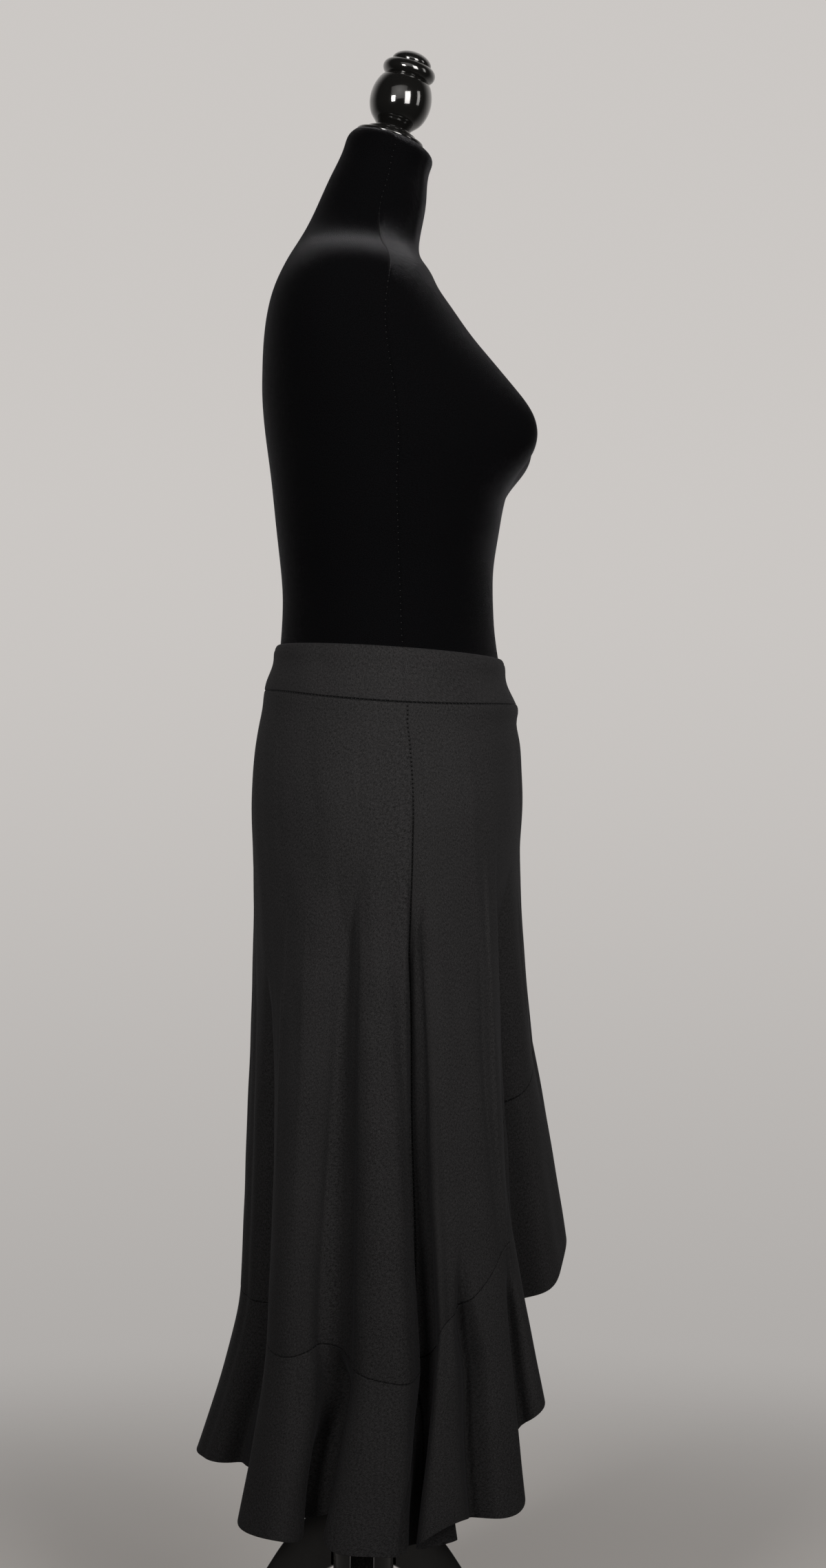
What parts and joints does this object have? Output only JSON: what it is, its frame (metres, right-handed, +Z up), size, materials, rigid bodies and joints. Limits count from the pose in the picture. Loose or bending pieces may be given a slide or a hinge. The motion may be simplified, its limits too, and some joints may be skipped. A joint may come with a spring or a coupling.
{
  "type": "asymmetric skirt on a dress form",
  "caption": "Pull-on high-low skirt with a wide waistband and a ruffled hem that climbs from the right side to the left front, on a limbless dress form with a tripod.",
  "frame": {"origin": "on the floor, on the axis of the stand's pole", "axes": "+Z up, -Y towards the skirt's front, -X towards the wearer's right, where the hem is longest"},
  "size_m": [0.4964, 0.4478, 1.7491],
  "materials": {
    "crepe": "matte black stretch crepe",
    "velvet": "black velvet nap",
    "lacquer": "turned wood, gloss black",
    "steel": "satin black"
  },
  "bodies": {
    "root": {"waistband_front": "crepe", "waistband_back": "crepe", "skirt_front": "crepe", "skirt_back": "crepe", "ruffle_front": "crepe", "ruffle_back": "crepe", "form_torso": "velvet", "neck_cap": "lacquer", "neck_finial": "lacquer", "form_socket": "steel", "pole": "steel", "stand_hub": "lacquer", "leg_right": "lacquer", "leg_back_left": "lacquer", "leg_front_left": "lacquer"}
  },
  "joints": []
}
